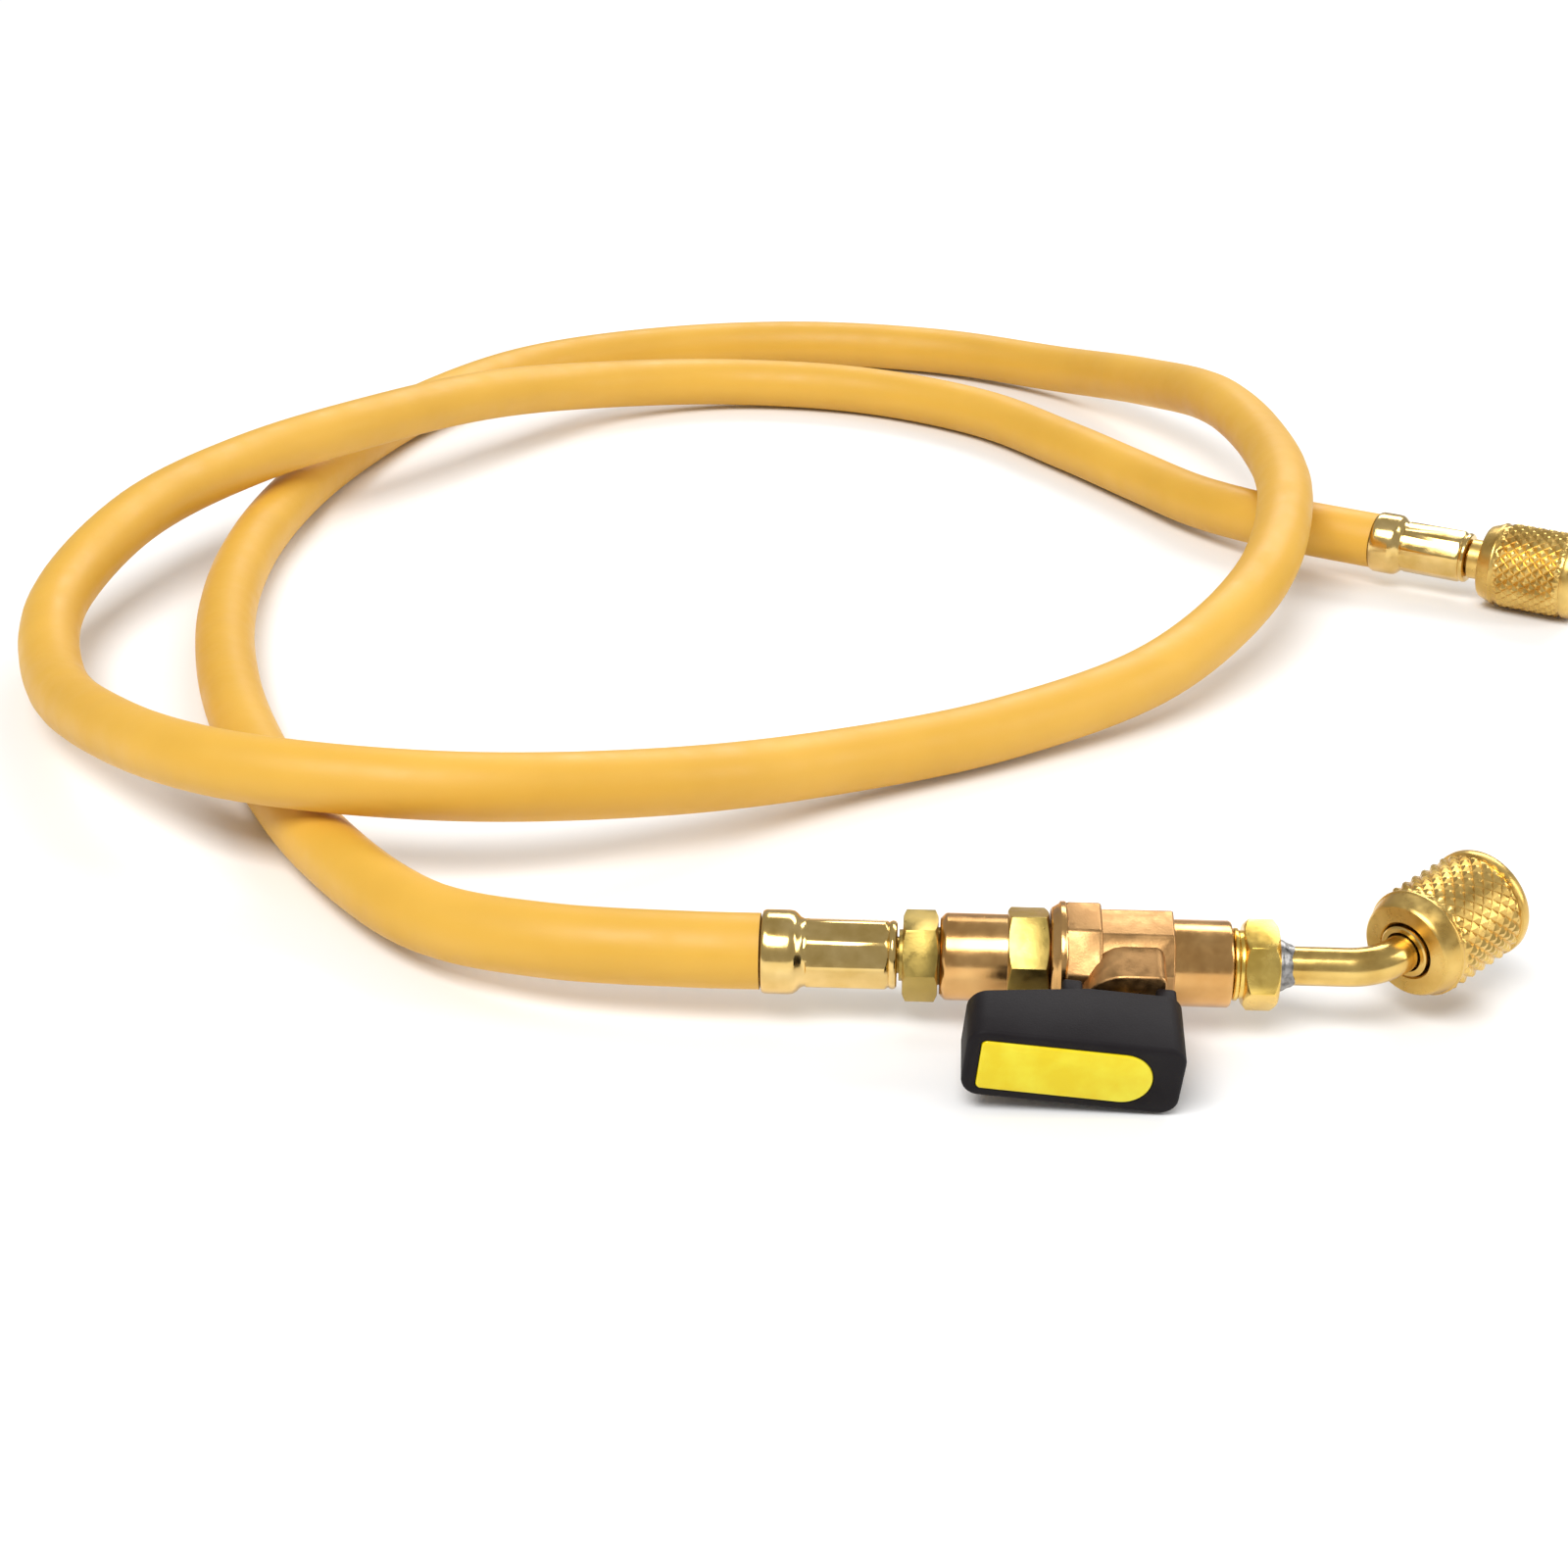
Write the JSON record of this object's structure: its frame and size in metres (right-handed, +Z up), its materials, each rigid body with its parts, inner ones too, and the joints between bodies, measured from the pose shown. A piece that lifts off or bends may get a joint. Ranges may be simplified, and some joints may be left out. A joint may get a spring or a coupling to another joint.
{
  "type": "refrigerant charging hose",
  "caption": "Rubber refrigerant charging hose with crimped ferrules, a knurled flare-nut coupling and a lever ball valve on a bent tube",
  "frame": {"origin": "centre of the underside of the box around the fittings at both ends, on the floor that the hose lies on", "axes": "+Z up from the floor, +X along the valve towards its bent tube, +Y from the valve towards the far coupling"},
  "size_m": [0.3436, 0.4179, 0.0284],
  "materials": {
    "hose_rubber": "satin yellow rubber",
    "polished_brass": "polished crimped brass",
    "hexagon_brass": "drawn olive brass",
    "turned_brass": "turned reddish brass",
    "forged_brass": "matte forged brass",
    "golden_brass": "bright golden brass",
    "solder": "dull grey solder",
    "ball_chrome": "plated",
    "seat_plastic": "white low-friction plastic",
    "seal_rubber": "black seal rubber",
    "lever_plastic": "fine-textured black plastic",
    "insert_plastic": "glossy yellow plastic"
  },
  "bodies": {
    "hose_and_valve": {"hose": "hose_rubber", "valve_ferrule": "polished_brass", "hose_stem": "hexagon_brass", "valve_end_cap": "turned_brass", "valve_body": "forged_brass", "ball_seat_inlet": "seat_plastic", "ball_seat_outlet": "seat_plastic", "tube_adapter": "golden_brass", "solder_joint": "solder", "bent_tube": "golden_brass", "flare_nipple": "golden_brass", "core_depressor": "golden_brass", "swivel_nut_seal": "seal_rubber", "coupling_ferrule": "polished_brass", "coupling_stem": "golden_brass", "coupling_seal": "seal_rubber"},
    "valve_lever": {"lever": "lever_plastic", "lever_insert": "insert_plastic", "spindle": "golden_brass", "ball": "ball_chrome"},
    "valve_end_nut": {"swivel_nut": "golden_brass"},
    "coupling_end_nut": {"coupling_nut": "golden_brass"}
  },
  "joints": [
    {"name": "lever_turn", "type": "hinge", "parent": "hose_and_valve", "child": "valve_lever", "pos_m": [-0.03457, -0.09073, 0.012], "axis": [0.0567, 0.9832, 0.1736], "range_deg": [-5.5, 84.5]},
    {"name": "swivel_nut_spin", "type": "hinge", "parent": "hose_and_valve", "child": "valve_end_nut", "pos_m": [0.01203, -0.08853, 0.01269], "axis": [0.7462, 0.6584, 0.0984], "continuous": true},
    {"name": "coupling_nut_spin", "type": "hinge", "parent": "hose_and_valve", "child": "coupling_end_nut", "pos_m": [0.06994, 0.10168, 0.0095], "axis": [0.8572, -0.515, 0], "continuous": true}
  ]
}
